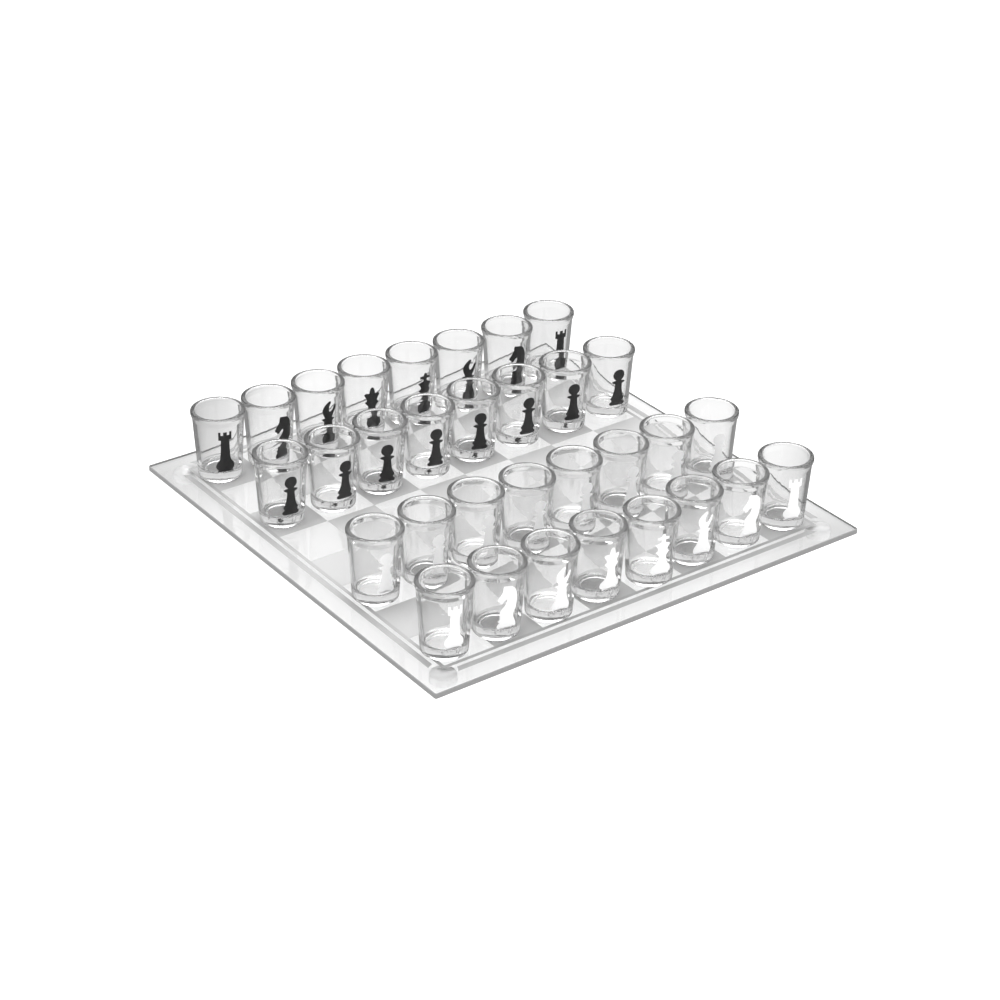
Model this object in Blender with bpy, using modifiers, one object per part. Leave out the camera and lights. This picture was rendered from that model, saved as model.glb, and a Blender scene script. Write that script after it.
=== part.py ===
"""Drinking-glass chess set: a glass board on four round feet, and thirty-two small glasses.

Metres, +Z up. The origin is the centre of the board's footprint, on the table. White's side
of the board faces -Y, and file a is at -X. The prints on the glasses and the frosted squares
are ink and etching without thickness, so they have no solids here.
"""

import math
from collections import namedtuple

import bmesh
import bpy

# Clearance kept between two pieces that touch
CONTACT_GAP = 0.0003

# Board: one square plate of glass with ground edges
FILES = 8
SQUARE = 0.0375
MARGIN = 0.023
PLATE_THICKNESS = 0.004
PLATE_CORNER_RADIUS = 0.0015
PLATE_CORNER_STEPS = 4
PLATE_EDGE_BEVEL = 0.0004

# Feet: round bumpers stuck under the plate's corners
FOOT_HEIGHT = 0.006
FOOT_TOP_DIAMETER = 0.017
FOOT_BOTTOM_DIAMETER = 0.018
FOOT_EDGE_BEVEL = 0.0006
FOOT_INSET = 0.019
FOOT_SEGMENTS = 24

# Glasses: how they stand beside each other on a rank
FILE_SPREAD = 0.0021  # a glass stands this much further from its neighbour than a square is wide
RIM_GAP = 0.002  # free space between two neighbouring rims
BASE_INSET = 0.00365  # free space between a glass's base and the side of its square

# Glasses: the turned shape
GLASS_HEIGHT = 0.050
GLASS_WALL = 0.0026
LIP_WIDTH = 0.0032
LIP_HEIGHT = 0.0014  # the rolled lip's widest line lies this far below its top
FLARE_HEIGHT = 0.008  # the rim flares out over this height
FLARE_WIDTH = 0.0013
FLOOR_THICKNESS = 0.0065
FLOOR_FILLET = 0.0025
BASE_CORNER = 0.0015
GLASS_SEGMENTS = 20
LIP_STEPS = 2

PLATE_SIDE = FILES * SQUARE + 2 * MARGIN
PLATE_BOTTOM = FOOT_HEIGHT + CONTACT_GAP
PLATE_TOP = PLATE_BOTTOM + PLATE_THICKNESS
GLASS_BOTTOM = PLATE_TOP + CONTACT_GAP
GLASS_PITCH = SQUARE + FILE_SPREAD
RIM_RADIUS = (GLASS_PITCH - RIM_GAP) / 2
BASE_RADIUS = SQUARE / 2 - BASE_INSET

FILE_NAMES = "abcdefgh"
BACK_RANK = ("rook", "knight", "bishop", "queen", "king", "bishop", "knight", "rook")
PAWN_RANK = ("pawn",) * FILES

# A rank of glasses: its side, its pieces from file a, its rank counted from white's edge,
# how much wider it is set out than the others, and how far it stands from its squares' middles
Rank = namedtuple("Rank", "side pieces number spread shift_x shift_y")
RANKS = (
    Rank("black", BACK_RANK, 7, 0.0008, 0.0017, 0.0006),
    Rank("black", PAWN_RANK, 5, 0.0, 0.0030, 0.0023),
    Rank("white", PAWN_RANK, 2, 0.0, -0.0007, -0.0025),
    Rank("white", BACK_RANK, 0, 0.0, -0.0012, -0.0038),
)

# Glasses set down off their rank's line, and how far to the right and away from white
NUDGES = {
    "black_rook_a": (0.002, 0.003),
    "black_queen_d": (-0.001, 0.0015),
    "black_king_e": (-0.0015, 0.0),
    "black_bishop_f": (-0.0025, -0.0025),
    "black_knight_g": (-0.0005, -0.0035),
    "black_pawn_b": (0.0, -0.002),
    "black_pawn_e": (0.0, 0.0015),
    "black_pawn_f": (-0.0005, 0.0015),
    "white_pawn_c": (0.0005, 0.002),
    "white_pawn_d": (-0.0005, -0.0015),
    "white_pawn_h": (0.0015, 0.0015),
    "white_bishop_c": (0.0, -0.002),
    "white_king_e": (0.0, -0.005),
}

Finish = namedtuple("Finish", "name color roughness transmission")
PLATE_FINISH = Finish("plate_glass", (0.78, 0.80, 0.80), 0.08, 0.8)
FOOT_FINISH = Finish("clear_bumper", (0.60, 0.61, 0.62), 0.35, 0.3)
GLASS_FINISHES = {
    "black": Finish("drinking_glass_black_print", (0.62, 0.64, 0.65), 0.04, 0.9),
    "white": Finish("drinking_glass_white_print", (0.90, 0.92, 0.92), 0.04, 0.9),
}


def clear_scene():
    """Remove every object the file opens with."""
    for obj in list(bpy.data.objects):
        bpy.data.objects.remove(obj)


def new_collection(name):
    """Make a collection under the scene's own."""
    collection = bpy.data.collections.new(name)
    bpy.context.scene.collection.children.link(collection)
    return collection


def make_material(finish):
    """Make a Principled BSDF material from a finish."""
    material = bpy.data.materials.new(finish.name)
    material.use_nodes = True
    shader = material.node_tree.nodes["Principled BSDF"]
    shader.inputs["Base Color"].default_value = (*finish.color, 1.0)
    shader.inputs["Roughness"].default_value = finish.roughness
    shader.inputs["Metallic"].default_value = 0.0
    shader.inputs["Transmission Weight"].default_value = finish.transmission
    shader.inputs["IOR"].default_value = 1.5
    material.diffuse_color = (*finish.color, 1.0)
    return material


def place(collection, name, mesh, material, location):
    """Put a mesh in the scene as one named piece."""
    if not mesh.materials:
        mesh.materials.append(material)
    piece = bpy.data.objects.new(name, mesh)
    piece.location = location
    collection.objects.link(piece)
    return piece


def add_bevel(piece, width, steps):
    """Round or break the sharp edges of a piece."""
    bevel = piece.modifiers.new("Bevel", "BEVEL")
    bevel.width = width
    bevel.segments = steps
    bevel.limit_method = "ANGLE"
    bevel.angle_limit = math.radians(40)


def add_screw(piece, steps):
    """Turn a profile round the piece's own Z axis."""
    screw = piece.modifiers.new("Screw", "SCREW")
    screw.axis = "Z"
    screw.angle = math.tau
    screw.steps = steps
    screw.render_steps = steps
    screw.use_merge_vertices = True
    screw.merge_threshold = 0.00001
    screw.use_smooth_shade = True


def make_board(collection):
    """The glass plate, a box with rounded upright corners and broken edges."""
    mesh = bpy.data.meshes.new("glass_board")
    shape = bmesh.new()
    bmesh.ops.create_cube(shape, size=1.0)
    bmesh.ops.scale(shape, vec=(PLATE_SIDE, PLATE_SIDE, PLATE_THICKNESS), verts=shape.verts)
    uprights = [edge for edge in shape.edges if abs(edge.verts[0].co.z - edge.verts[1].co.z) > 0]
    bmesh.ops.bevel(
        shape,
        geom=uprights,
        offset=PLATE_CORNER_RADIUS,
        segments=PLATE_CORNER_STEPS,
        profile=0.5,
        affect="EDGES",
    )
    shape.to_mesh(mesh)
    shape.free()
    middle = (PLATE_BOTTOM + PLATE_TOP) / 2
    board = place(collection, "glass_board", mesh, make_material(PLATE_FINISH), (0, 0, middle))
    add_bevel(board, PLATE_EDGE_BEVEL, 1)


def make_feet(collection):
    """Four round bumpers, each a short cone under one corner of the plate."""
    mesh = bpy.data.meshes.new("foot")
    shape = bmesh.new()
    bmesh.ops.create_cone(
        shape,
        cap_ends=True,
        segments=FOOT_SEGMENTS,
        radius1=FOOT_BOTTOM_DIAMETER / 2,
        radius2=FOOT_TOP_DIAMETER / 2,
        depth=FOOT_HEIGHT,
    )
    shape.to_mesh(mesh)
    shape.free()
    mesh.shade_smooth()
    mesh.set_sharp_from_angle(angle=math.radians(40))
    material = make_material(FOOT_FINISH)
    reach = PLATE_SIDE / 2 - FOOT_INSET
    for depth_name, depth_sign in (("front", -1), ("back", 1)):
        for side_name, side_sign in (("left", -1), ("right", 1)):
            name = f"foot_{depth_name}_{side_name}"
            middle = (side_sign * reach, depth_sign * reach, FOOT_HEIGHT / 2)
            foot = place(collection, name, mesh, material, middle)
            add_bevel(foot, FOOT_EDGE_BEVEL, 1)


def lip_points():
    """The rolled lip in section, a half ellipse from the opening over the top to the rim."""
    middle = RIM_RADIUS - LIP_WIDTH / 2
    points = []
    for step in range(LIP_STEPS + 1):
        angle = math.pi * (1 - step / LIP_STEPS)
        across = middle + LIP_WIDTH / 2 * math.cos(angle)
        height = GLASS_HEIGHT - LIP_HEIGHT * (1 - math.sin(angle))
        points.append((across, height))
    return points


def glass_profile():
    """The glass in section, from the floor's middle up the inside and down the outside."""
    neck_height = GLASS_HEIGHT - FLARE_HEIGHT
    neck_radius = RIM_RADIUS - FLARE_WIDTH
    slope = (neck_radius - BASE_RADIUS) / (neck_height - BASE_CORNER)
    fillet_top = FLOOR_THICKNESS + FLOOR_FILLET
    wall_foot = BASE_RADIUS + slope * (fillet_top - BASE_CORNER) - GLASS_WALL
    inside = [
        (0, FLOOR_THICKNESS),
        (wall_foot - FLOOR_FILLET, FLOOR_THICKNESS),
        (wall_foot, fillet_top),
        (neck_radius - GLASS_WALL, neck_height),
    ]
    outside = [
        (neck_radius, neck_height),
        (BASE_RADIUS, BASE_CORNER),
        (BASE_RADIUS - BASE_CORNER, 0),
        (0, 0),
    ]
    return inside + lip_points() + outside


def glass_mesh(name):
    """The profile as a mesh of edges, ready for the Screw modifier."""
    points = glass_profile()
    edges = [(index, index + 1) for index in range(len(points) - 1)]
    mesh = bpy.data.meshes.new(name)
    mesh.from_pydata([(across, 0, height) for across, height in points], edges, [])
    return mesh


def make_glasses(collection):
    """Thirty-two glasses in four ranks, each standing on its own axis."""
    meshes = {}
    materials = {}
    for side, finish in GLASS_FINISHES.items():
        meshes[side] = glass_mesh(f"{side}_glass")
        materials[side] = make_material(finish)
    for rank in RANKS:
        stand_y = (rank.number - (FILES - 1) / 2) * SQUARE + rank.shift_y
        for index, (letter, piece_name) in enumerate(zip(FILE_NAMES, rank.pieces)):
            stand_x = (index - (FILES - 1) / 2) * (GLASS_PITCH + rank.spread) + rank.shift_x
            name = f"{rank.side}_{piece_name}_{letter}"
            nudge_x, nudge_y = NUDGES.get(name, (0.0, 0.0))
            spot = (stand_x + nudge_x, stand_y + nudge_y, GLASS_BOTTOM)
            glass = place(collection, name, meshes[rank.side], materials[rank.side], spot)
            add_screw(glass, GLASS_SEGMENTS)


def main():
    """Build the whole set."""
    clear_scene()
    chess_set = new_collection("glass_chess_set")
    make_board(chess_set)
    make_feet(chess_set)
    make_glasses(chess_set)


main()
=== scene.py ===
"""Drinking-glass chess set: thirty-two small glasses with printed figures on an etched glass board.

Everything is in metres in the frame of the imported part. The origin is the middle of the board's
footprint on the table, +Z is up, white's edge faces -Y and file a is at -X.
"""

import logging
import math
from dataclasses import dataclass
from enum import Enum

import bmesh
import bpy
from mathutils import Matrix, Vector
from mathutils.geometry import delaunay_2d_cdt


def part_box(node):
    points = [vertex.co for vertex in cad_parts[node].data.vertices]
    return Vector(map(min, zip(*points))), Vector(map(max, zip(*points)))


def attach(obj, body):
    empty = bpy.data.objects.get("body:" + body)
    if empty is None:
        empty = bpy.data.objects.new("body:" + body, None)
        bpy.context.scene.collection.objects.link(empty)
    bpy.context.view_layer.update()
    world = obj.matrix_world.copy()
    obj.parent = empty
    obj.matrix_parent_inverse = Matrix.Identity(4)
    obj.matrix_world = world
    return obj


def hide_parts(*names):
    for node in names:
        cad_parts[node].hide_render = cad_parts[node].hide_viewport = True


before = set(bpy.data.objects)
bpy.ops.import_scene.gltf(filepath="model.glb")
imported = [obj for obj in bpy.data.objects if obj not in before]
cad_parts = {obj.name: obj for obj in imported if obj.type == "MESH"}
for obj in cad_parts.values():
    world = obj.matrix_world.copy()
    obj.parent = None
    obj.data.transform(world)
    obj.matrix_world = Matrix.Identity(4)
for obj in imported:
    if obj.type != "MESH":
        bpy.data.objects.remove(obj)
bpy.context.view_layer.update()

MM = 0.001
MERGE_DISTANCE = 0.001 * MM
FILLET_LIMIT = 0.49  # the share of a straight run that one fillet may take
GRAIN_LOW, GRAIN_HIGH = 0.3, 0.7  # the part of a noise that holds nearly all of its values
LOG = logging.getLogger("glass_chess_set")

Point = tuple[float, float]
Stroke = tuple[Point, ...]


# ---------------------------------------------------------------------------------------------
# Small helpers
# ---------------------------------------------------------------------------------------------


def linear(hex_colour: str) -> tuple[float, float, float, float]:
    """Turn an sRGB hex colour into linear red, green, blue and alpha.

    Args:
        hex_colour: Six hex digits, with or without a leading hash.

    Returns:
        The linear colour with an alpha of one.
    """
    digits = hex_colour.lstrip("#")
    channels = []
    for start in (0, 2, 4):
        value = int(digits[start : start + 2], 16) / 255
        channels.append(value / 12.92 if value <= 0.04045 else ((value + 0.055) / 1.055) ** 2.4)
    return (*channels, 1.0)


def add_node(
    tree: bpy.types.NodeTree, kind: str, inputs: dict | None = None, **settings
) -> bpy.types.Node:
    """Add a node to a tree, with its settings, its values and its links.

    Args:
        tree: The node tree that gets the node.
        kind: Blender's type name of the node.
        inputs: Values or output sockets for the node's inputs, by input name or number.
        **settings: Properties of the node itself.

    Returns:
        The new node.
    """
    node = tree.nodes.new(kind)
    for name, value in settings.items():
        setattr(node, name, value)
    for name, value in (inputs or {}).items():
        if isinstance(value, bpy.types.NodeSocket):
            tree.links.new(value, node.inputs[name])
        else:
            node.inputs[name].default_value = value
    return node


def calculate(
    tree: bpy.types.NodeTree, operation: str, *values: float | bpy.types.NodeSocket
) -> bpy.types.NodeSocket:
    """Add a Math node.

    Args:
        tree: The node tree that gets the node.
        operation: The node's operation.
        *values: Its values or the sockets that feed it.

    Returns:
        The result's socket.
    """
    return add_node(tree, "ShaderNodeMath", dict(enumerate(values)), operation=operation).outputs[0]


def start_material(name: str) -> tuple[bpy.types.Material, bpy.types.NodeTree, bpy.types.NodeSocket]:
    """Start a material with an empty tree.

    Args:
        name: The material's name.

    Returns:
        The material, its tree and its object coordinates.
    """
    material = bpy.data.materials.new(name)
    material.use_nodes = True
    tree = material.node_tree
    tree.nodes.clear()
    return material, tree, add_node(tree, "ShaderNodeTexCoord").outputs["Object"]


def end_material(tree: bpy.types.NodeTree, values: dict, **body: bpy.types.NodeSocket) -> None:
    """End a material in a Principled BSDF and its output.

    Args:
        tree: The material's tree.
        values: Values or output sockets for the shader's inputs.
        **body: The socket of the volume shader, where the material has one, as Volume.
    """
    surface = add_node(tree, "ShaderNodeBsdfPrincipled", values)
    add_node(tree, "ShaderNodeOutputMaterial", {"Surface": surface.outputs[0], **body})


def smooth_through(points: Stroke, steps: int = 5) -> list[Point]:
    """Run a smooth curve through points.

    Args:
        points: The points, the first and last of which are its ends.
        steps: How many pieces each gap between two points gets.

    Returns:
        The points along the curve, without the last one.
    """
    if len(points) == 2:
        return [points[0]]
    padded = (points[0], *points, points[-1])
    found = []
    for before, start, end, after in zip(padded, padded[1:], padded[2:], padded[3:]):
        for step in range(steps):
            t = step / steps
            found.append(
                tuple(
                    0.5
                    * (
                        2 * start[axis]
                        + (end[axis] - before[axis]) * t
                        + (2 * before[axis] - 5 * start[axis] + 4 * end[axis] - after[axis]) * t**2
                        + (3 * start[axis] - before[axis] - 3 * end[axis] + after[axis]) * t**3
                    )
                    for axis in (0, 1)
                )
            )
    return found


def rounded(corners: list[tuple[float, float, float]], steps: int = 6) -> list[Point]:
    """Round the corners of a section.

    Args:
        corners: Distance from the axis, height and fillet radius of each corner.
        steps: How many pieces each fillet gets.

    Returns:
        The points of the section, from its first corner to its last.
    """
    points = [corners[0][:2]]
    for before, corner, after in zip(corners, corners[1:], corners[2:]):
        here = Vector(corner[:2])
        back = Vector(before[:2]) - here
        ahead = Vector(after[:2]) - here
        turn = back.angle(ahead)
        reach = corner[2] / math.tan(turn / 2)
        reach = min(reach, FILLET_LIMIT * back.length, FILLET_LIMIT * ahead.length)
        start = here + back.normalized() * reach
        end = here + ahead.normalized() * reach
        for step in range(steps + 1):
            t = step / steps
            spot = start * (1 - t) ** 2 + here * 2 * t * (1 - t) + end * t**2
            points.append((spot.x, spot.y))
    points.append(corners[-1][:2])
    return points


def inside(spot: Point, outline: list[Point]) -> bool:
    """Tell whether a point is inside a closed outline.

    Args:
        spot: The point.
        outline: The outline's corners in order.

    Returns:
        True inside the outline.
    """
    crossings = False
    for (ax, ay), (bx, by) in zip(outline, outline[1:] + outline[:1]):
        if (ay > spot[1]) != (by > spot[1]):
            crossing = ax + (spot[1] - ay) / (by - ay) * (bx - ax)
            crossings ^= spot[0] < crossing
    return crossings


# ---------------------------------------------------------------------------------------------
# Finishes
# ---------------------------------------------------------------------------------------------


@dataclass(frozen=True)
class ClearGlass:
    """Clear soda-lime glass. Its body is colourless, and long ways through it turn grey."""

    name: str
    tint: str = "FCFCFC"
    ior: float = 1.52
    roughness: float = 0.0
    body_tint: str = "CCCCCC"
    absorption: float = 20.0
    streak_width: float = 3.0 * MM
    streak_length: float = 40.0 * MM
    streak_depth: float = 0.05 * MM

    def material(self) -> bpy.types.Material:
        """Build the material.

        Returns:
            The glass, with faint streaks that run up its wall and an absorbing body.
        """
        material, tree, place = start_material(self.name)
        stretch = add_node(
            tree,
            "ShaderNodeMapping",
            {
                "Vector": place,
                "Scale": (1 / self.streak_width, 1 / self.streak_width, 1 / self.streak_length),
            },
        )
        streaks = add_node(
            tree, "ShaderNodeTexNoise", {"Vector": stretch.outputs[0], "Scale": 1.0, "Detail": 1.0}
        )
        bump = add_node(
            tree,
            "ShaderNodeBump",
            {"Strength": 1.0, "Distance": self.streak_depth, "Height": streaks.outputs[0]},
        )
        body = add_node(
            tree,
            "ShaderNodeVolumeAbsorption",
            {"Color": linear(self.body_tint), "Density": self.absorption},
        )
        values = {
            "Base Color": linear(self.tint),
            "Roughness": self.roughness,
            "IOR": self.ior,
            "Transmission Weight": 1.0,
            "Normal": bump.outputs[0],
        }
        end_material(tree, values, Volume=body.outputs[0])
        return material


@dataclass(frozen=True)
class FineGrain:
    """A thin opaque or cloudy layer with a fine grain: etching, enamel, satin edges or rubber."""

    name: str
    light: str
    dark: str
    grain: float
    roughness: float
    roughness_spread: float = 0.05
    depth: float = 0.0
    ior: float = 1.5

    def material(self) -> bpy.types.Material:
        """Build the material.

        Returns:
            The layer, with a grain that varies its colour, its gloss and its height.
        """
        material, tree, place = start_material(self.name)
        noise = add_node(
            tree,
            "ShaderNodeTexNoise",
            {"Vector": place, "Scale": 1 / self.grain, "Detail": 3.0},
        )
        colour = add_node(tree, "ShaderNodeValToRGB", {"Fac": noise.outputs[0]})
        stops = ((GRAIN_LOW, self.dark), (GRAIN_HIGH, self.light))
        for stop, (position, shade) in zip(colour.color_ramp.elements, stops):
            stop.position = position
            stop.color = linear(shade)
        gloss = add_node(
            tree,
            "ShaderNodeMapRange",
            {
                "Value": noise.outputs[0],
                "From Min": GRAIN_LOW,
                "From Max": GRAIN_HIGH,
                "To Min": self.roughness - self.roughness_spread,
                "To Max": self.roughness + self.roughness_spread,
            },
        )
        bump = add_node(
            tree,
            "ShaderNodeBump",
            {"Strength": 1.0, "Distance": self.depth, "Height": noise.outputs[0]},
        )
        values = {
            "Base Color": colour.outputs[0],
            "Roughness": gloss.outputs[0],
            "IOR": self.ior,
            "Normal": bump.outputs[0],
        }
        end_material(tree, values)
        return material


@dataclass(frozen=True)
class LitSheet:
    """An opal acrylic sheet that is lit from below. It is part of the studio, not of the object.

    The bare sheet is white, and so is its light on matt surfaces. What is seen of it through glass
    gets painted shade in its glow: it is a touch greyer, more so towards the board's side corners
    and behind it, and greyer still after a reflection.
    """

    name: str
    tone: str
    glow: float
    through: float
    painted_side_shade: float
    painted_back_shade: float
    painted_shade_start: float
    painted_shade_end: float
    painted_reflection_share: float
    cloud: float
    cloud_depth: float = 0.04

    def material(self) -> bpy.types.Material:
        """Build the material.

        Returns:
            The sheet, with a glow that varies over its width and paints shade on what glass shows of it.
        """
        material, tree, place = start_material(self.name)
        turned = add_node(
            tree, "ShaderNodeMapping", {"Vector": place, "Rotation": (0, 0, math.pi / 4)}
        )
        flat = add_node(tree, "ShaderNodeSeparateXYZ", {0: turned.outputs[0]}).outputs
        noise = add_node(tree, "ShaderNodeTexNoise", {"Vector": place, "Scale": 1 / self.cloud})
        swing = calculate(tree, "SUBTRACT", noise.outputs[0], 0.5)
        level = calculate(tree, "ADD", calculate(tree, "MULTIPLY", swing, self.cloud_depth), self.through)
        sideways = calculate(tree, "ABSOLUTE", flat[0])
        # Painted shade: the glow that glass shows falls off towards the board's side corners and behind
        # it.
        for distance, amount in ((sideways, self.painted_side_shade), (flat[1], self.painted_back_shade)):
            painted_fall = add_node(
                tree,
                "ShaderNodeMapRange",
                {
                    "Value": distance,
                    "From Min": self.painted_shade_start,
                    "From Max": self.painted_shade_end,
                    "To Min": 0.0,
                    "To Max": amount,
                },
                interpolation_type="SMOOTHSTEP",
            )
            level = calculate(tree, "SUBTRACT", level, painted_fall.outputs[0])
        # Painted shade: after a glossy bounce only the reflection share of the glow is left.
        path = add_node(tree, "ShaderNodeLightPath").outputs
        bounced = calculate(tree, "MINIMUM", path["Glossy Depth"], 1.0)
        painted_reflection_loss = calculate(tree, "MULTIPLY", bounced, 1 - self.painted_reflection_share)
        level = calculate(tree, "MULTIPLY", level, calculate(tree, "SUBTRACT", 1.0, painted_reflection_loss))
        # Camera rays and light on matt surfaces get the full white glow, so the painted shade shows only
        # in glass.
        matt = calculate(tree, "MINIMUM", path["Diffuse Depth"], 1.0)
        bare = calculate(tree, "MAXIMUM", path["Is Camera Ray"], matt)
        glow = add_node(tree, "ShaderNodeMix", {"Factor": bare, "A": level, "B": self.glow})
        values = {
            "Base Color": linear(self.tone),
            "Roughness": 0.9,
            "Emission Color": (1.0, 1.0, 1.0, 1.0),
            "Emission Strength": glow.outputs[0],
        }
        end_material(tree, values)
        return material


# Opal acrylic light table: nearly white from its own light, so shadows on it stay faint
# The values below other than glow and cloud paint the shade that glass shows of the sheet.
LIGHT_TABLE = LitSheet(
    "opal_light_table",
    "4C4C4C",
    glow=1.25,
    through=0.90,
    painted_side_shade=0.44,
    painted_back_shade=0.08,
    painted_shade_start=0.162,
    painted_shade_end=0.27,
    painted_reflection_share=0.15,
    cloud=0.8,
)

# Pressed soda-lime drinking glass: fire-polished, so mirror-smooth, with faint streaks from the mould
PRESSED_GLASS = ClearGlass("pressed_drinking_glass")

# Float glass plate: flat and even, with the lightest ripple left by the tin bath
FLOAT_GLASS = ClearGlass(
    "float_glass_plate",
    body_tint="DADADA",
    absorption=6.0,
    streak_width=60.0 * MM,
    streak_length=60.0 * MM,
    streak_depth=0.004 * MM,
)

# Ground and seamed glass edge: an opaque satin grey. A real ground edge is translucent and looks
# grey from what it scatters along the plate, so this grey is partly its own and partly painted
# shade. The real grinding marks are under 0.1 mm wide, and they are drawn at 0.6 mm so that a
# render can show them
GROUND_EDGE = FineGrain("ground_glass_edge", "949494", "848484", 0.6 * MM, 0.4, 0.1, 0.01 * MM)

# Frosting enamel fired on glass: an even pale grey, matt, with a grain the hand just feels. Its
# frit is about 0.05 mm, and it is drawn at 0.5 mm, as are the two enamels of the prints
FROSTING = FineGrain("fired_frosting_enamel", "B2B2B2", "AAAAAA", 0.5 * MM, 0.6, 0.05, 0.004 * MM)

# The same frosting laid on thicker for the lines, so they come out darker than the squares
LINE_FROSTING = FineGrain("fired_line_enamel", "A2A2A2", "9A9A9A", 0.5 * MM, 0.6, 0.05, 0.004 * MM)

# Black screen-printed ceramic enamel: dense, with a soft gloss and a slightly uneven edge of tone
BLACK_ENAMEL = FineGrain("black_ceramic_enamel", "2E2E2E", "232323", 0.5 * MM, 0.4, 0.08, 0.006 * MM)

# White screen-printed ceramic enamel: opaque and a little chalky
WHITE_ENAMEL = FineGrain("white_ceramic_enamel", "FAFAFA", "F2F2F2", 0.5 * MM, 0.4, 0.08, 0.006 * MM)

# Moulded polyurethane bumper: cloudy and lets light in, drawn as an opaque pale finish with a soft gloss
BUMPER = FineGrain("cast_polyurethane_bumper", "EEEEEE", "E6E6E6", 1.5 * MM, 0.3, 0.05, 0.005 * MM)

# Acrylic adhesive pad on the bumper: a grey film where it has wetted the glass. Its near-white
# colour is painted light, lighter than that grey so that it still reads grey in the shade under
# the plate
ADHESIVE = FineGrain("acrylic_adhesive_film", "FAFAFA", "F2F2F2", 2.0 * MM, 0.5, 0.1, 0.002 * MM)


# ---------------------------------------------------------------------------------------------
# Geometry Nodes trees
# ---------------------------------------------------------------------------------------------


class Recipe:
    """A Geometry Nodes tree with named inputs, run once on a mesh and turned into a plain mesh."""

    def __init__(self, name: str, sockets: dict[str, str]) -> None:
        """Start the tree with its sockets.

        Args:
            name: The tree's name.
            sockets: The kind of each named input, such as "Float" or "Int".
        """
        self.tree = bpy.data.node_groups.new(name, "GeometryNodeTree")
        face = self.tree.interface
        face.new_socket("Geometry", in_out="INPUT", socket_type="NodeSocketGeometry")
        face.new_socket("Geometry", in_out="OUTPUT", socket_type="NodeSocketGeometry")
        self.identifiers = {}
        for label, kind in {**sockets, "Material": "Material"}.items():
            socket = face.new_socket(label, in_out="INPUT", socket_type=f"NodeSocket{kind}")
            self.identifiers[label] = socket.identifier
        self.inputs = add_node(self.tree, "NodeGroupInput").outputs

    def calculate(self, operation: str, *values: float | bpy.types.NodeSocket) -> bpy.types.NodeSocket:
        """Add a Math node to this tree and return its result."""
        return calculate(self.tree, operation, *values)

    def finish(self, geometry: bpy.types.NodeSocket) -> None:
        """End the tree in Realize Instances and Set Material.

        Args:
            geometry: The socket with the finished shape.
        """
        real = add_node(self.tree, "GeometryNodeRealizeInstances", {"Geometry": geometry})
        dressed = add_node(
            self.tree,
            "GeometryNodeSetMaterial",
            {"Geometry": real.outputs[0], "Material": self.inputs["Material"]},
        )
        add_node(self.tree, "NodeGroupOutput", {"Geometry": dressed.outputs[0]})

    def run(self, name: str, mesh: bpy.types.Mesh, values: dict, spot: Vector) -> bpy.types.Object:
        """Run the tree on a mesh and keep the result as a plain mesh.

        Args:
            name: The new piece's name.
            mesh: What the tree starts from.
            values: A value for each named input.
            spot: Where the result stands.

        Returns:
            The piece, at the origin, with its place in its mesh.
        """
        piece = bpy.data.objects.new(name, mesh)
        bpy.context.scene.collection.objects.link(piece)
        modifier = piece.modifiers.new("Recipe", "NODES")
        modifier.node_group = self.tree
        for label, value in values.items():
            modifier[self.identifiers[label]] = value
        graph = bpy.context.evaluated_depsgraph_get()
        plain = bpy.data.meshes.new_from_object(piece.evaluated_get(graph))
        plain.name = name
        plain.transform(Matrix.Translation(spot))
        piece.modifiers.remove(modifier)
        piece.data = plain
        bpy.data.meshes.remove(mesh)
        return piece


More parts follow.
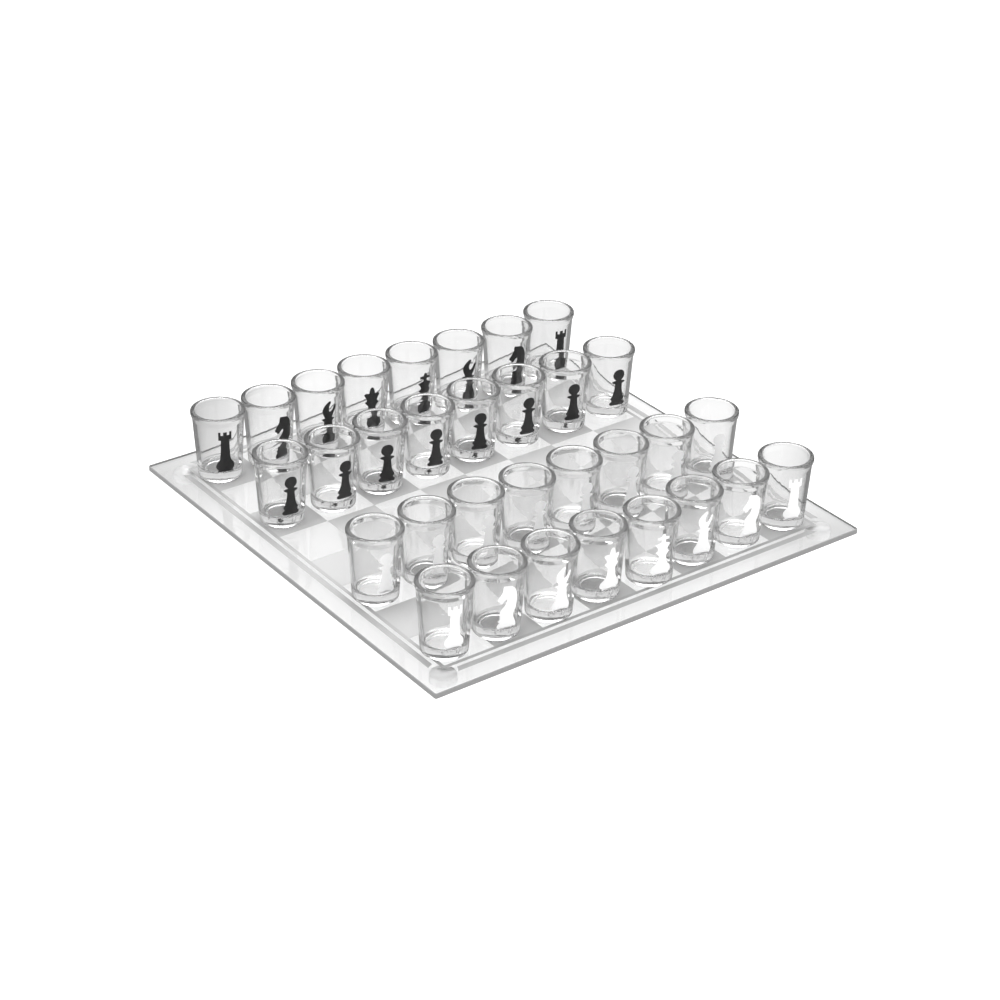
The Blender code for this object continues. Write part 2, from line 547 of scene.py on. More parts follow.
def turning_recipe() -> Recipe:
    """Build the tree that turns a section round the Z axis.

    Returns:
        The recipe. Its ripple makes the turned wall a little uneven, as pressed glass is.
    """
    recipe = Recipe(
        "turning", {"Segments": "Int", "Ripple": "Float", "Ripple Scale": "Float", "Seed": "Float"}
    )
    tree, inputs = recipe.tree, recipe.inputs
    size = add_node(tree, "GeometryNodeAttributeDomainSize", {"Geometry": inputs["Geometry"]})
    count = size.outputs["Point Count"]
    around = recipe.calculate("ADD", inputs["Segments"], 1.0)
    grid = add_node(
        tree,
        "GeometryNodeMeshGrid",
        {"Size X": 1.0, "Size Y": 1.0, "Vertices X": count, "Vertices Y": around},
    )
    place = add_node(tree, "GeometryNodeInputPosition")
    flat = add_node(tree, "ShaderNodeSeparateXYZ", {0: place.outputs[0]})
    last = recipe.calculate("SUBTRACT", count, 1.0)
    along = recipe.calculate("MULTIPLY", recipe.calculate("ADD", flat.outputs[0], 0.5), last)
    section = add_node(
        tree,
        "GeometryNodeSampleIndex",
        {
            "Geometry": inputs["Geometry"],
            "Value": place.outputs[0],
            "Index": recipe.calculate("ROUND", along),
        },
        data_type="FLOAT_VECTOR",
    )
    angle = recipe.calculate("MULTIPLY", recipe.calculate("ADD", flat.outputs[1], 0.5), math.tau)
    cosine, sine = recipe.calculate("COSINE", angle), recipe.calculate("SINE", angle)
    point = add_node(tree, "ShaderNodeSeparateXYZ", {0: section.outputs["Value"]})
    up = recipe.calculate("MULTIPLY", point.outputs[2], inputs["Ripple Scale"])
    where = add_node(
        tree,
        "ShaderNodeCombineXYZ",
        {0: cosine, 1: sine, 2: recipe.calculate("ADD", up, inputs["Seed"])},
    )
    noise = add_node(
        tree, "ShaderNodeTexNoise", {"Vector": where.outputs[0], "Scale": 2.0, "Detail": 1.0}
    )
    swing = recipe.calculate("SUBTRACT", noise.outputs[0], 0.5)
    swell = recipe.calculate("MULTIPLY", swing, inputs["Ripple"])
    radius = recipe.calculate("MULTIPLY", point.outputs[0], recipe.calculate("ADD", swell, 1.0))
    turned = add_node(
        tree,
        "ShaderNodeCombineXYZ",
        {
            0: recipe.calculate("MULTIPLY", radius, cosine),
            1: recipe.calculate("MULTIPLY", radius, sine),
            2: point.outputs[2],
        },
    )
    moved = add_node(
        tree,
        "GeometryNodeSetPosition",
        {"Geometry": grid.outputs["Mesh"], "Position": turned.outputs[0]},
    )
    closed = add_node(
        tree,
        "GeometryNodeMergeByDistance",
        {"Geometry": moved.outputs[0], "Distance": MERGE_DISTANCE},
    )
    smooth = add_node(tree, "GeometryNodeSetShadeSmooth", {"Geometry": closed.outputs[0]})
    recipe.finish(smooth.outputs[0])
    return recipe


def tiling_recipe() -> Recipe:
    """Build the tree that lays square tiles on every second square of a chequered board.

    Returns:
        The recipe. Its first tile is at the left end of the far row.
    """
    recipe = Recipe(
        "tiling", {"Squares": "Int", "Square": "Float", "Joint": "Float", "Thickness": "Float"}
    )
    tree, inputs = recipe.tree, recipe.inputs
    steps = recipe.calculate("SUBTRACT", inputs["Squares"], 1.0)
    span = recipe.calculate("MULTIPLY", steps, inputs["Square"])
    grid = add_node(
        tree,
        "GeometryNodeMeshGrid",
        {
            "Size X": span,
            "Size Y": span,
            "Vertices X": inputs["Squares"],
            "Vertices Y": inputs["Squares"],
        },
    )
    number = add_node(tree, "GeometryNodeInputIndex").outputs[0]
    column = recipe.calculate("FLOOR", recipe.calculate("DIVIDE", number, inputs["Squares"]))
    both = recipe.calculate("ADD", recipe.calculate("MODULO", number, inputs["Squares"]), column)
    bare = recipe.calculate("LESS_THAN", recipe.calculate("MODULO", both, 2.0), 0.5)
    spots = add_node(
        tree,
        "GeometryNodeDeleteGeometry",
        {"Geometry": grid.outputs["Mesh"], "Selection": bare},
        domain="POINT",
    )
    side = recipe.calculate("SUBTRACT", inputs["Square"], inputs["Joint"])
    extent = add_node(tree, "ShaderNodeCombineXYZ", {0: side, 1: side, 2: inputs["Thickness"]})
    tile = add_node(tree, "GeometryNodeMeshCube", {"Size": extent.outputs[0]})
    tiles = add_node(
        tree,
        "GeometryNodeInstanceOnPoints",
        {"Points": spots.outputs[0], "Instance": tile.outputs["Mesh"]},
    )
    recipe.finish(tiles.outputs[0])
    return recipe


def printing_recipe() -> Recipe:
    """Build the tree that wraps a flat figure on a conical wall and gives it the ink's thickness.

    Returns:
        The recipe. The flat figure has X across and Z up from its foot.
    """
    labels = ("Foot Radius", "Wall Slope", "Foot Height", "Turn", "Ink")
    recipe = Recipe("printing", {label: "Float" for label in labels})
    tree, inputs = recipe.tree, recipe.inputs
    place = add_node(tree, "GeometryNodeInputPosition")
    flat = add_node(tree, "ShaderNodeSeparateXYZ", {0: place.outputs[0]})
    rise = recipe.calculate("MULTIPLY", flat.outputs[2], inputs["Wall Slope"])
    radius = recipe.calculate("ADD", inputs["Foot Radius"], rise)
    bend = recipe.calculate("DIVIDE", flat.outputs[0], radius)
    angle = recipe.calculate("ADD", bend, inputs["Turn"])
    opposite = recipe.calculate("ADD", angle, math.pi)
    wrapped = add_node(
        tree,
        "ShaderNodeCombineXYZ",
        {
            0: recipe.calculate("MULTIPLY", radius, recipe.calculate("SINE", angle)),
            1: recipe.calculate("MULTIPLY", radius, recipe.calculate("COSINE", opposite)),
            2: recipe.calculate("ADD", flat.outputs[2], inputs["Foot Height"]),
        },
    )
    skin = add_node(
        tree,
        "GeometryNodeSetPosition",
        {"Geometry": inputs["Geometry"], "Position": wrapped.outputs[0]},
    )
    raised = add_node(
        tree,
        "GeometryNodeExtrudeMesh",
        {"Mesh": skin.outputs[0], "Offset Scale": inputs["Ink"], "Individual": False},
    )
    back = add_node(tree, "GeometryNodeFlipFaces", {"Mesh": skin.outputs[0]})
    joined = add_node(tree, "GeometryNodeJoinGeometry")
    for part in (raised.outputs[0], back.outputs[0]):
        tree.links.new(part, joined.inputs[0])
    closed = add_node(
        tree,
        "GeometryNodeMergeByDistance",
        {"Geometry": joined.outputs[0], "Distance": MERGE_DISTANCE},
    )
    recipe.finish(closed.outputs[0])
    return recipe


# ---------------------------------------------------------------------------------------------
# Printed figures
# ---------------------------------------------------------------------------------------------


class Figure(Enum):
    """The six chess figures."""

    PAWN = "pawn"
    ROOK = "rook"
    KNIGHT = "knight"
    BISHOP = "bishop"
    QUEEN = "queen"
    KING = "king"


# Outlines in millimetres, across and up from the middle of the foot. A stroke of two points is
# straight and a longer one is a smooth curve. A half outline goes up the right side.
ROYAL_FOOT: tuple[Stroke, ...] = (
    ((0, 0), (5.8, 0.2)),
    ((5.8, 0.2), (5.4, 1.2)),
    ((5.4, 1.2), (7.1, 2.2), (7.3, 4.2), (6.5, 6.3), (4.8, 7.9)),
)

HALF_OUTLINES: dict[Figure, tuple[Stroke, ...]] = {
    Figure.PAWN: (
        ((0, 0), (4.7, 0)),
        ((4.7, 0), (5.8, 0.7), (5.9, 1.9), (4.5, 3.4)),
        ((4.5, 3.4), (4.5, 4.2)),
        ((4.5, 4.2), (5.3, 5.0), (5.1, 6.2), (4.4, 7.2)),
        ((4.4, 7.2), (3.5, 10.2), (2.9, 14.0), (2.7, 17.6)),
        ((2.7, 17.6), (4.8, 18.6), (4.9, 19.6)),
        ((4.9, 19.6), (2.0, 20.6)),
        ((2.0, 20.6), (3.9, 22.6), (4.4, 25.0), (3.5, 27.6), (1.7, 29.0), (0, 29.3)),
    ),
    Figure.ROOK: (
        ((0, 0), (5.8, 0)),
        ((5.8, 0), (4.9, 1.5)),
        ((4.9, 1.5), (6.2, 2.9), (6.6, 4.8), (5.7, 7.2), (4.2, 9.3)),
        ((4.2, 9.3), (3.6, 12.0), (3.2, 18.5), (3.0, 25.2)),
        ((3.0, 25.2), (4.6, 25.4)),
        ((4.6, 25.4), (4.7, 31.6)),
        ((4.7, 31.6), (3.1, 31.6)),
        ((3.1, 31.6), (3.0, 29.0)),
        ((3.0, 29.0), (1.3, 29.0)),
        ((1.3, 29.0), (1.3, 31.4)),
        ((1.3, 31.4), (0, 31.4)),
    ),
    Figure.QUEEN: ROYAL_FOOT
    + (
        ((4.8, 7.9), (3.6, 10.6), (3.0, 13.6), (2.7, 16.6)),
        ((2.7, 16.6), (5.2, 19.7)),
        ((5.2, 19.7), (3.8, 21.2)),
        ((3.8, 21.2), (4.1, 22.8), (5.8, 25.8)),
        ((5.8, 25.8), (4.6, 27.0), (2.2, 27.0)),
        ((2.2, 27.0), (1.6, 30.0), (0.8, 31.6), (0, 31.9)),
    ),
    Figure.KING: ROYAL_FOOT
    + (
        ((4.8, 7.9), (3.5, 10.4), (2.8, 12.8), (2.5, 15.0)),
        ((2.5, 15.0), (4.9, 17.6)),
        ((4.9, 17.6), (3.4, 19.2)),
        ((3.4, 19.2), (3.6, 20.8), (5.4, 23.4)),
        ((5.4, 23.4), (1.6, 25.2)),
        ((1.6, 25.2), (1.3, 27.2)),
        ((1.3, 27.2), (4.1, 27.0)),
        ((4.1, 27.0), (4.1, 29.0)),
        ((4.1, 29.0), (1.4, 29.4)),
        ((1.4, 29.4), (0.9, 31.3), (0, 31.5)),
    ),
}

WHOLE_OUTLINES: dict[Figure, tuple[Stroke, ...]] = {
    Figure.BISHOP: (
        ((-5.4, 0.2), (5.4, 0.2)),
        ((5.4, 0.2), (6.3, 2.2), (6.0, 4.6), (4.7, 7.2)),
        ((4.7, 7.2), (3.8, 10.0), (3.4, 13.4), (3.1, 16.8)),
        ((3.1, 16.8), (5.1, 18.7)),
        ((5.1, 18.7), (2.6, 19.6)),
        ((2.6, 19.6), (3.9, 22.4), (5.3, 25.6), (5.9, 28.0), (5.3, 29.2), (4.4, 28.6)),
        ((4.4, 28.6), (2.8, 25.6), (1.3, 24.4), (0.3, 25.4), (0.5, 28.4), (1.8, 31.2)),
        ((1.8, 31.2), (1.5, 32.4), (0.3, 32.6)),
        ((0.3, 32.6), (-2.6, 29.8), (-4.3, 26.4), (-4.1, 23.2), (-2.6, 19.6)),
        ((-2.6, 19.6), (-5.1, 18.7)),
        ((-5.1, 18.7), (-3.1, 16.8)),
        ((-3.1, 16.8), (-3.4, 13.4), (-3.8, 10.0), (-4.7, 7.2)),
        ((-4.7, 7.2), (-6.0, 4.6), (-6.3, 2.2), (-5.4, 0.2)),
    ),
    Figure.KNIGHT: (
        ((-5.6, 0.2), (6.2, 0.6)),
        ((6.2, 0.6), (6.5, 2.4), (5.8, 5.0)),
        ((5.8, 5.0), (4.7, 7.4), (4.3, 10.0), (5.0, 12.6), (6.2, 15.0), (6.8, 19.5)),
        ((6.8, 19.5), (6.5, 24.6), (5.2, 28.6), (2.8, 31.2)),
        ((2.8, 31.2), (0.2, 31.8), (-2.8, 32.2)),
        ((-2.8, 32.2), (-3.3, 30.4), (-3.4, 28.4), (-4.9, 25.2), (-6.6, 22.2)),
        ((-6.6, 22.2), (-6.2, 20.9)),
        ((-6.2, 20.9), (-5.0, 20.4)),
        ((-5.0, 20.4), (-4.7, 19.0)),
        ((-4.7, 19.0), (-3.4, 19.4), (-2.4, 21.0), (-0.6, 22.6)),
        ((-0.6, 22.6), (-0.5, 20.8), (-1.6, 18.2), (-3.4, 15.6), (-4.7, 13.2), (-4.9, 9.8), (-4.7, 7.4)),
        ((-4.7, 7.4), (-6.0, 6.2), (-4.9, 5.0)),
        ((-4.9, 5.0), (-6.0, 3.4), (-6.5, 1.6), (-5.6, 0.2)),
    ),
}


def figure_outline(figure: Figure) -> list[Point]:
    """Draw the closed outline of a figure.

    Args:
        figure: Which figure.

    Returns:
        The outline's points in metres, anticlockwise.
    """
    if figure in WHOLE_OUTLINES:
        points = [point for stroke in WHOLE_OUTLINES[figure] for point in smooth_through(stroke)]
    else:
        strokes = HALF_OUTLINES[figure]
        right = [point for stroke in strokes for point in smooth_through(stroke)]
        right.append(strokes[-1][-1])
        points = right[1:] + [(-across, up) for across, up in reversed(right[1:-1])]
    return [(across * MM, up * MM) for across, up in points]


def flat_figure(
    name: str, outline: list[Point], spacing: float, clearance: float = 0.4, weld: float = 1e-7
) -> bpy.types.Mesh:
    """Fill an outline with triangles small enough to bend round a glass.

    Args:
        name: The mesh's name.
        outline: The closed outline, across and up.
        spacing: How far apart the points inside it are.
        clearance: How far from the outline they stay, as a share of the spacing.
        weld: Points nearer to each other than this become one.

    Returns:
        The flat mesh, with X across and Z up.
    """
    points = list(outline)
    columns = math.ceil(max(across for across, _ in outline) / spacing)
    rows = math.ceil(max(up for _, up in outline) / spacing)
    for row in range(1, rows):
        for column in range(-columns, columns + 1):
            spot = ((column + 0.5 * (row % 2)) * spacing, row * spacing)
            clear = min(math.dist(spot, corner) for corner in outline) > clearance * spacing
            if clear and inside(spot, outline):
                points.append(spot)
    count = len(outline)
    edges = [(index, (index + 1) % count) for index in range(count)]
    faces = [list(range(count))]
    filled = delaunay_2d_cdt([Vector(spot) for spot in points], edges, faces, 1, weld)
    mesh = bpy.data.meshes.new(name)
    mesh.from_pydata([(across, 0, up) for across, up in filled[0]], [], filled[2])
    return mesh


# ---------------------------------------------------------------------------------------------
# Sub-assemblies
# ---------------------------------------------------------------------------------------------


class Side(Enum):
    """The two sides of the game, by the colour of their print."""

    BLACK = "black"
    WHITE = "white"

    @property
    def slot(self) -> str:
        """The name of a material slot for this side's glasses, which no slot is given."""
        return f"{self.value}_print_glass"


def turn_section(
    turning: Recipe,
    name: str,
    section: list[Point],
    spot: Vector,
    material: bpy.types.Material,
    segments: int,
    ripple: float = 0.0,
    ripple_scale: float = 1.0,
    seed: float = 0.0,
) -> bpy.types.Object:
    """Turn a section into a piece.

    Args:
        turning: The recipe that turns a section.
        name: The piece's name.
        section: Its section, from axis to axis.
        spot: Where the piece stands.
        material: Its finish.
        segments: How many flat sides the turned wall has.
        ripple: How uneven its radius is, as a share.
        ripple_scale: One over the height of one ripple.
        seed: Which ripple it gets.

    Returns:
        The piece.
    """
    mesh = bpy.data.meshes.new("section")
    mesh.from_pydata([(across, 0, up) for across, up in section], [], [])
    values = {
        "Segments": segments,
        "Ripple": ripple,
        "Ripple Scale": ripple_scale,
        "Seed": seed,
        "Material": material,
    }
    return turning.run(name, mesh, values, spot)


@dataclass
class DrinkingGlass:
    """One small pressed glass with its printed figure."""

    node: str
    side: Side
    figure: Figure
    seed: int
    turn: float
    wall: float = 2.6 * MM
    lip_width: float = 3.2 * MM
    lip_height: float = 1.4 * MM
    lip_squareness: float = 2.8
    lip_steps: int = 14
    lip_drop_inside: float = 0.8 * MM
    lip_drop_outside: float = 1.2 * MM
    lip_fillet: float = 2.0 * MM
    neck_drop: float = 6.0 * MM
    neck_inset: float = 1.1 * MM
    neck_fillet_inside: float = 8.0 * MM
    neck_fillet_outside: float = 6.0 * MM
    floor_thickness: float = 6.5 * MM
    floor_dish: float = 0.2 * MM
    floor_fillet: float = 3.6 * MM
    base_radius: float = 15.1 * MM
    base_corner: float = 1.9 * MM
    punt_radius: float = 10.6 * MM
    punt_depth: float = 1.2 * MM
    punt_shoulder: float = 0.84 * MM
    punt_rim: float = 1.2 * MM
    punt_rim_fillet: float = 0.6 * MM
    punt_fillet: float = 1.0 * MM
    segments: int = 96
    ripple: float = 0.004
    ripple_height: float = 60.0 * MM
    ripple_step: float = 7.3
    print_height: float = 9.0 * MM
    pawn_lift: float = 1.5 * MM
    ink: float = 0.06 * MM
    ink_gap: float = 0.03 * MM
    print_spacing: float = 1.6 * MM

    def __post_init__(self) -> None:
        """Take the glass's place, height and rim from its CAD node."""
        low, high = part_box(self.node)
        self.spot = Vector(((low.x + high.x) / 2, (low.y + high.y) / 2, low.z))
        self.height = high.z - low.z
        self.rim_radius = (high.x - low.x) / 2

    @property
    def neck_height(self) -> float:
        """Where the wall ends and the rim begins to flare."""
        return self.height - self.neck_drop

    @property
    def neck_radius(self) -> float:
        """The outer radius where the rim begins to flare."""
        return self.rim_radius - self.neck_inset

    @property
    def wall_slope(self) -> float:
        """How much the outer radius grows for each metre up the wall."""
        return (self.neck_radius - self.base_radius) / self.neck_height

    def section(self) -> list[Point]:
        """Draw the glass in section.

        Returns:
            The points from the floor's middle up the inside, over the lip and down the outside.
        """
        rim_line = self.height - self.lip_height
        mouth = self.rim_radius - self.lip_width
        foot = self.base_radius + self.wall_slope * self.floor_thickness - self.wall
        inner = rounded(
            [
                (0, self.floor_thickness - self.floor_dish, 0),
                (foot, self.floor_thickness, self.floor_fillet),
                (self.neck_radius - self.wall, self.neck_height, self.neck_fillet_inside),
                (mouth, rim_line - self.lip_drop_inside, self.lip_fillet),
                (mouth, rim_line, 0),
            ]
        )
        middle = self.rim_radius - self.lip_width / 2
        lip = []
        power = 2 / self.lip_squareness
        for step in range(1, self.lip_steps):
            angle = math.pi * (1 - step / self.lip_steps)
            across = math.copysign(abs(math.cos(angle)) ** power, math.cos(angle))
            up = math.sin(angle) ** power
            lip.append((middle + self.lip_width / 2 * across, rim_line + self.lip_height * up))
        outer = rounded(
            [
                (self.rim_radius, rim_line, 0),
                (self.rim_radius, rim_line - self.lip_drop_outside, self.lip_fillet),
                (self.neck_radius, self.neck_height, self.neck_fillet_outside),
                (self.base_radius, 0, self.base_corner),
                (self.punt_radius + self.punt_rim, 0, self.punt_rim_fillet),
                (self.punt_radius, self.punt_shoulder, self.punt_fillet),
                (0, self.punt_depth, 0),
            ]
        )
        return inner + lip + outer

    def build_body(self, turning: Recipe, material: bpy.types.Material) -> bpy.types.Object:
        """Turn the glass.

        Args:
            turning: The recipe that turns a section.
            material: The glass.

        Returns:
            The glass, riding on its own body.
        """
        piece = turn_section(
            turning,
            f"{self.node}_glass",
            self.section(),
            self.spot,
            material,
            self.segments,
            self.ripple,
            1 / self.ripple_height,
            self.ripple_step * self.seed,
        )
        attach(piece, self.node)
        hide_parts(self.node)
        self.side.slot
        return piece

    def build_print(self, printing: Recipe, material: bpy.types.Material) -> bpy.types.Object:
        """Print the figure on the wall.

        Args:
            printing: The recipe that wraps a flat figure on a wall.
            material: The ink.

        Returns:
            The print, riding on the glass's body.
        """
        name = f"{self.node}_print"
        lift = self.print_height + (self.pawn_lift if self.figure is Figure.PAWN else 0.0)
        values = {
            "Foot Radius": self.base_radius + self.wall_slope * lift + self.ink_gap,
            "Wall Slope": self.wall_slope,
            "Foot Height": lift,
            "Turn": math.radians(self.turn),
            "Ink": self.ink,
            "Material": material,
        }
        flat = flat_figure(name, figure_outline(self.figure), self.print_spacing)
        piece = printing.run(name, flat, values, self.spot)
        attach(piece, self.node)
        self.side.slot
        return piece


@dataclass
class GlassBoard:
    """The glass plate with its fired frosting."""

    squares: int = 8
    square: float = 37.65 * MM
    corner_radius: float = 1.5 * MM
    corner_steps: int = 6
    edge_bevel: float = 0.4 * MM
    frosting: float = 0.06 * MM
    frosting_gap: float = 0.02 * MM
    joint: float = 0.05 * MM
    outline_width: float = 2.5 * MM
    border_start: float = 5.3 * MM
    border_width: float = 4.3 * MM
    wetted_radius: float = 9.2 * MM
    wetted_steps: int = 8

    def __post_init__(self) -> None:
        """Take the plate's size and the feet's place from their CAD nodes."""
        self.low, self.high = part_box("glass_board")
        foot_low, foot_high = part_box("foot_back_right")
        self.foot_reach = (foot_low.x + foot_high.x) / 2

    @property
    def field(self) -> float:
        """How far the squares reach from the middle of the board."""
        return self.squares * self.square / 2

    @property
    def frosting_height(self) -> float:
        """The middle of the frosting layer."""
        return self.high.z + self.frosting_gap + self.frosting / 2

    def ring(self, inset: float, height: float) -> list[Vector]:
        """Walk round the plate's outline.

        Args:
            inset: How far inside the plate's sides the ring runs.
            height: The ring's height.

        Returns:
            The ring's points, anticlockwise from above.
        """
        half = self.high.x - self.corner_radius
        points = []
        for quarter in range(4):
            middle = Matrix.Rotation(quarter * math.pi / 2, 2) @ Vector((half, half))
            for step in range(self.corner_steps + 1):
                angle = (quarter + step / self.corner_steps) * math.pi / 2
                reach = self.corner_radius - inset
                across = middle.x + reach * math.cos(angle)
                points.append(Vector((across, middle.y + reach * math.sin(angle), height)))
        return points

    def build_plate(self, face: bpy.types.Material, edge: bpy.types.Material) -> bpy.types.Object:
        """Build the plate with its ground edge.

        Args:
            face: The glass.
            edge: The ground edge's finish.

        Returns:
            The plate, riding on the board.
        """
        shape = bmesh.new()
        levels = (
            (self.edge_bevel, self.low.z),
            (0.0, self.low.z + self.edge_bevel),
            (0.0, self.high.z - self.edge_bevel),
            (self.edge_bevel, self.high.z),
        )
        rings = [[shape.verts.new(point) for point in self.ring(*level)] for level in levels]
        shape.faces.new(list(reversed(rings[0])))
        shape.faces.new(rings[-1])
        count = len(rings[0])
        for below, above in zip(rings, rings[1:]):
            for index in range(count):
                after = (index + 1) % count
                wall = shape.faces.new((below[index], below[after], above[after], above[index]))
                wall.material_index = 1
        piece = new_piece("float_glass_plate", shape, [face, edge])
        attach(piece, "board")
        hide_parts("glass_board")
        return piece

    def build_squares(self, tiling: Recipe, material: bpy.types.Material) -> bpy.types.Object:
        """Lay the frosted squares.

        Args:
            tiling: The recipe that lays tiles on every second square.
            material: The frosting.

        Returns:
            The squares, riding on the board.
        """
        values = {
            "Squares": self.squares,
            "Square": self.square,
            "Joint": self.joint,
            "Thickness": self.frosting,
            "Material": material,
        }
        spot = Vector((0, 0, self.frosting_height))
        piece = tiling.run("frosted_squares", bpy.data.meshes.new("start"), values, spot)
        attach(piece, "board")
        return piece

    def add_outline(self, shape: bmesh.types.BMesh) -> None:
        """Draw the closed line round the squares.

        Args:
            shape: The shape that gets the line.
        """
        outer = self.field + self.outline_width
        rings = []
        for half, level in ((self.field, -1), (outer, -1), (outer, 1), (self.field, 1)):
            height = self.frosting_height + level * self.frosting / 2
            corners = ((1, 1), (-1, 1), (-1, -1), (1, -1))
            rings.append([shape.verts.new((x * half, y * half, height)) for x, y in corners])
        for index in range(4):
            for here, there in zip(rings, rings[1:] + rings[:1]):
                after = (index + 1) % 4
                shape.faces.new((here[index], here[after], there[after], there[index]))

    def add_border_bar(self, shape: bmesh.types.BMesh, quarter: int) -> None:
        """Draw one side of the border, which stops where a foot's adhesive wets the plate.

        Args:
            shape: The shape that gets the bar.
            quarter: Which side of the board, in quarter turns.
        """
        turn = Matrix.Rotation(quarter * math.pi / 2, 3, "Z")
        rows = []
        for step in range(self.wetted_steps + 1):
            out = self.field + self.border_start + self.border_width * step / self.wetted_steps
            gap = math.sqrt(self.wetted_radius**2 - (out - self.foot_reach) ** 2)
            end = self.foot_reach - gap
            row = []
            for side, level in ((-1, -1), (1, -1), (1, 1), (-1, 1)):
                height = self.frosting_height + level * self.frosting / 2
                row.append(shape.verts.new(turn @ Vector((side * end, out, height))))
            rows.append(row)
        shape.faces.new(rows[0])
        shape.faces.new(rows[-1])
        for here, there in zip(rows, rows[1:]):
            for index in range(4):
                after = (index + 1) % 4
                shape.faces.new((here[index], here[after], there[after], there[index]))

    def build_lines(self, material: bpy.types.Material) -> bpy.types.Object:
        """Draw the line round the squares and the border outside it.

        Args:
            material: The frosting.

        Returns:
            The lines, riding on the board.
        """
        shape = bmesh.new()
        self.add_outline(shape)
        for quarter in range(4):
            self.add_border_bar(shape, quarter)
        bmesh.ops.recalc_face_normals(shape, faces=shape.faces)
        piece = new_piece("frosted_lines", shape, [material])
        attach(piece, "board")
        return piece


@dataclass
class BumperFoot:
    """One round cast bumper with its adhesive film."""

    node: str
    top_radius: float = 8.5 * MM
    top_edge_radius: float = 0.6 * MM
    edge_radius: float = 1.2 * MM
    film: float = 0.2 * MM
    film_gap: float = 0.02 * MM
    film_inset: float = 0.3 * MM
    segments: int = 48

    def __post_init__(self) -> None:
        """Take the foot's place and size from its CAD node."""
        low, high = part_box(self.node)
        self.spot = Vector(((low.x + high.x) / 2, (low.y + high.y) / 2, low.z))
        self.height = high.z - low.z
        self.radius = (high.x - low.x) / 2

    def turned(
        self, name: str, section: list[Point], turning: Recipe, material: bpy.types.Material
    ) -> bpy.types.Object:
        """Turn one piece of the foot.

        Args:
            name: The piece's name.
            section: Its section, from the axis at its top to the axis at its bottom.
            turning: The recipe that turns a section.
            material: Its finish.

        Returns:
            The piece, riding on the board.
        """
        piece = turn_section(turning, name, section, self.spot, material, self.segments)
        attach(piece, "board")
        return piece

    def build(
        self, turning: Recipe, rubber: bpy.types.Material, film: bpy.types.Material
    ) -> None:
        """Turn the bumper and its film.

        Args:
            turning: The recipe that turns a section.
            rubber: The bumper's finish.
            film: The adhesive's finish.
        """
        section = rounded(
            [
                (0, self.height, 0),
                (self.top_radius, self.height, self.top_edge_radius),
                (self.radius, 0, self.edge_radius),
                (0, 0, 0),
            ]
        )
        bumper = self.turned(f"{self.node}_bumper", section, turning, rubber)
        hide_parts(self.node)
        reach = self.top_radius - self.film_inset
        top = self.height + self.film_gap + self.film
        disc = [(0, top), (reach, top), (reach, top - self.film), (0, top - self.film)]
        self.turned(f"{self.node}_film", disc, turning, film)


def new_piece(
    name: str, shape: bmesh.types.BMesh, materials: list[bpy.types.Material]
) -> bpy.types.Object:
    """Turn a finished shape into a piece.

    Args:
        name: The piece's name.
        shape: The shape, which is freed.
        materials: The piece's materials in slot order.

    Returns:
        The piece.
    """
    mesh = bpy.data.meshes.new(name)
    shape.to_mesh(mesh)
    shape.free()
    for material in materials:
        mesh.materials.append(material)
    piece = bpy.data.objects.new(name, mesh)
    bpy.context.scene.collection.objects.link(piece)
    return piece


# ---------------------------------------------------------------------------------------------
# Studio
# ---------------------------------------------------------------------------------------------


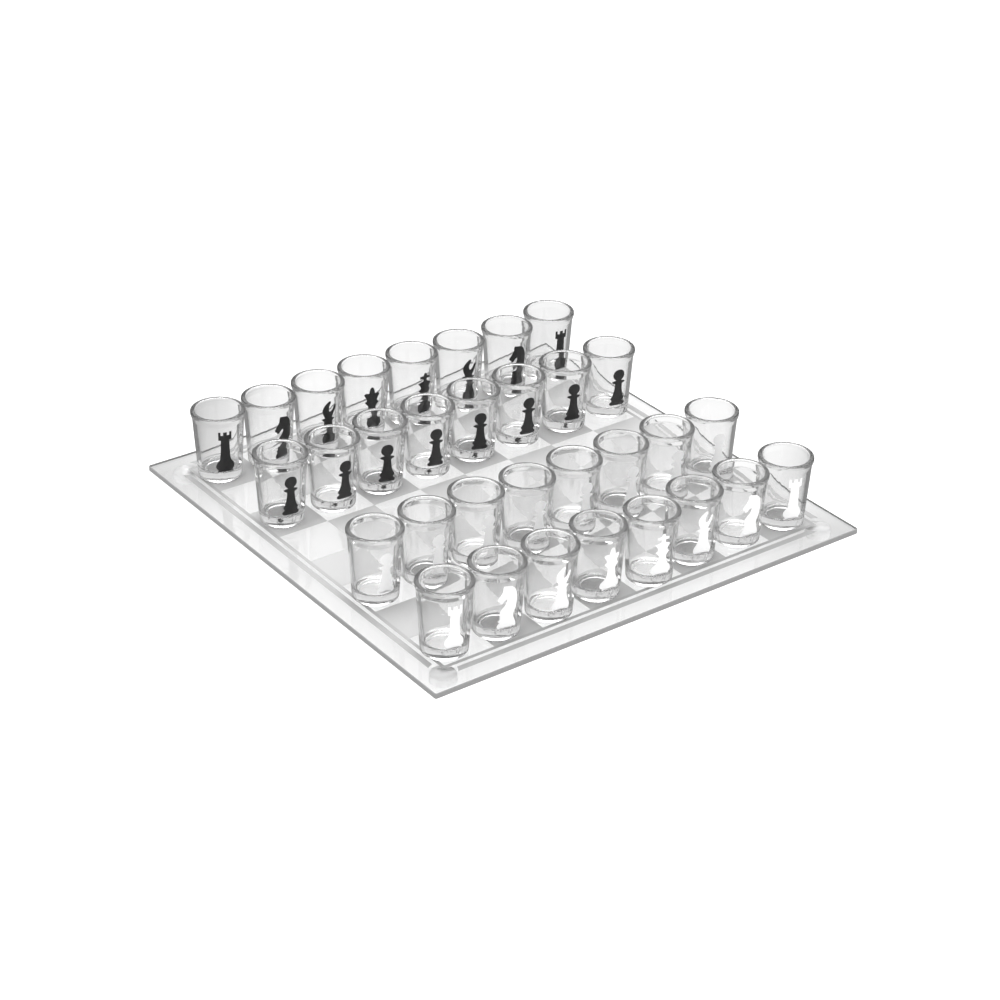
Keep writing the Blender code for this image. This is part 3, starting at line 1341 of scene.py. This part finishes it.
@dataclass
class Studio:
    """The floor, the soft light and the camera.

    The sky's light on matt surfaces is even. What is seen of it in glass falls off to the horizon.
    """

    floor_side: float = 12.0
    floor_drop: float = 0.2 * MM
    sky_top: float = 1.05
    sky_horizon: float = 0.72
    sky_rise: tuple[float, float] = (0.05, 0.75)
    sky_fill: float = 1.3
    box_side: float = 1.6
    box_place: tuple[float, float, float] = (0.3, 0.4, 2.0)
    box_power: float = 40.0
    camera_place: tuple[float, float, float] = (-0.90355, -1.20553, 0.86109)
    camera_target: tuple[float, float, float] = (-0.00138, -0.00515, 0.0103)
    camera_roll: float = 1.08
    lens: float = 91.45
    sensor_width: float = 36.0
    deep_bounces: int = 32
    matt_bounces: int = 4

    def build(self) -> None:
        """Build the whole studio."""
        self.build_floor()
        self.build_sky()
        self.build_softbox()
        self.build_camera()
        scene = bpy.context.scene
        scene.view_settings.view_transform = "Standard"
        scene.view_settings.look = "None"
        scene.cycles.max_bounces = self.deep_bounces
        scene.cycles.transmission_bounces = self.deep_bounces
        scene.cycles.glossy_bounces = self.deep_bounces
        scene.cycles.diffuse_bounces = self.matt_bounces
        scene.cycles.caustics_reflective = True
        scene.cycles.caustics_refractive = True

    def build_floor(self) -> None:
        """Lay the pale floor."""
        shape = bmesh.new()
        half = self.floor_side / 2
        corners = ((-half, -half), (half, -half), (half, half), (-half, half))
        shape.faces.new([shape.verts.new((x, y, -self.floor_drop)) for x, y in corners])
        new_piece("floor", shape, [LIGHT_TABLE.material()])

    def build_sky(self) -> None:
        """Light the room from all round, brighter overhead than at the horizon."""
        world = bpy.data.worlds.new("soft_room")
        bpy.context.scene.world = world
        world.use_nodes = True
        tree = world.node_tree
        tree.nodes.clear()
        place = add_node(tree, "ShaderNodeTexCoord")
        up = add_node(tree, "ShaderNodeSeparateXYZ", {0: place.outputs["Generated"]})
        level = add_node(
            tree,
            "ShaderNodeMapRange",
            {
                "Value": up.outputs[2],
                "From Min": self.sky_rise[0],
                "From Max": self.sky_rise[1],
                "To Min": self.sky_horizon,
                "To Max": self.sky_top,
            },
            interpolation_type="SMOOTHSTEP",
        )
        path = add_node(tree, "ShaderNodeLightPath")
        strength = add_node(
            tree,
            "ShaderNodeMapRange",
            {
                "Value": path.outputs["Diffuse Depth"],
                "To Min": level.outputs[0],
                "To Max": self.sky_fill,
            },
        )
        light = add_node(
            tree,
            "ShaderNodeBackground",
            {"Color": (1, 1, 1, 1), "Strength": strength.outputs[0]},
        )
        add_node(tree, "ShaderNodeOutputWorld", {"Surface": light.outputs[0]})

    def build_softbox(self) -> None:
        """Hang a large softbox over the board."""
        lamp = bpy.data.lights.new("softbox", "AREA")
        lamp.size = self.box_side
        lamp.energy = self.box_power
        box = bpy.data.objects.new("softbox", lamp)
        box.location = self.box_place
        box.rotation_euler = (Vector((0, 0, 0)) - box.location).to_track_quat("-Z", "Y").to_euler()
        bpy.context.scene.collection.objects.link(box)

    def build_camera(self) -> None:
        """Set up the camera."""
        camera = bpy.data.objects.new("camera", bpy.data.cameras.new("camera"))
        camera.data.lens = self.lens
        camera.data.sensor_width = self.sensor_width
        place = Vector(self.camera_place)
        aim = (Vector(self.camera_target) - place).to_track_quat("-Z", "Y").to_matrix()
        roll = Matrix.Rotation(math.radians(self.camera_roll), 3, "Z")
        camera.matrix_world = Matrix.Translation(place) @ (aim @ roll).to_4x4()
        bpy.context.scene.collection.objects.link(camera)
        bpy.context.scene.camera = camera


# How far each glass is turned on its square, in degrees from white's edge towards file h. Each row
# is one rank from file a to file h, by its side and whether it holds the pawns
TURNS: dict[tuple[Side, bool], tuple[float, ...]] = {
    (Side.BLACK, False): (-16.0, 4.0, -8.0, -14.0, -0.5, -10.0, -7.5, -4.0),
    (Side.BLACK, True): (-9.0, -2.5, -16.5, -14.5, -18.0, -10.0, -14.0, -11.5),
    (Side.WHITE, True): (-9.5, -8.0, -5.0, -5.5, -7.0, -8.5, -10.0, -20.0),
    (Side.WHITE, False): (-13.0, -12.5, -9.0, -5.0, -11.5, -14.0, -10.5, -17.0),
}


def build_glasses(turning: Recipe, printing: Recipe) -> None:
    """Build the thirty-two glasses.

    Args:
        turning: The recipe that turns a section.
        printing: The recipe that wraps a figure on a wall.
    """
    glass = PRESSED_GLASS.material()
    inks = {Side.BLACK: BLACK_ENAMEL.material(), Side.WHITE: WHITE_ENAMEL.material()}
    names = sorted(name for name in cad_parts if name.startswith(("black_", "white_")))
    for seed, name in enumerate(names):
        side_name, figure_name, letter = name.split("_")
        side, figure = Side(side_name), Figure(figure_name)
        turn = TURNS[side, figure is Figure.PAWN]["abcdefgh".index(letter)]
        one = DrinkingGlass(name, side, figure, seed, turn)
        body = one.build_body(turning, glass)
        ink = one.build_print(printing, inks[one.side])
        counts = (len(body.data.polygons), len(ink.data.polygons))
        LOG.info("%s: %d faces and a print of %d", name, *counts)


def main() -> None:
    """Build the studio, the board, its feet and the glasses."""
    logging.basicConfig(level=logging.INFO, format="%(name)s: %(message)s")
    Studio().build()
    turning, tiling, printing = turning_recipe(), tiling_recipe(), printing_recipe()
    board = GlassBoard()
    board.build_plate(FLOAT_GLASS.material(), GROUND_EDGE.material())
    board.build_squares(tiling, FROSTING.material())
    board.build_lines(LINE_FROSTING.material())
    LOG.info("board: plate, squares and lines")
    rubber, film = BUMPER.material(), ADHESIVE.material()
    for name in sorted(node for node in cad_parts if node.startswith("foot_")):
        BumperFoot(name).build(turning, rubber, film)
        LOG.info("%s: bumper and film", name)
    build_glasses(turning, printing)


if __name__ == "__main__":
    main()
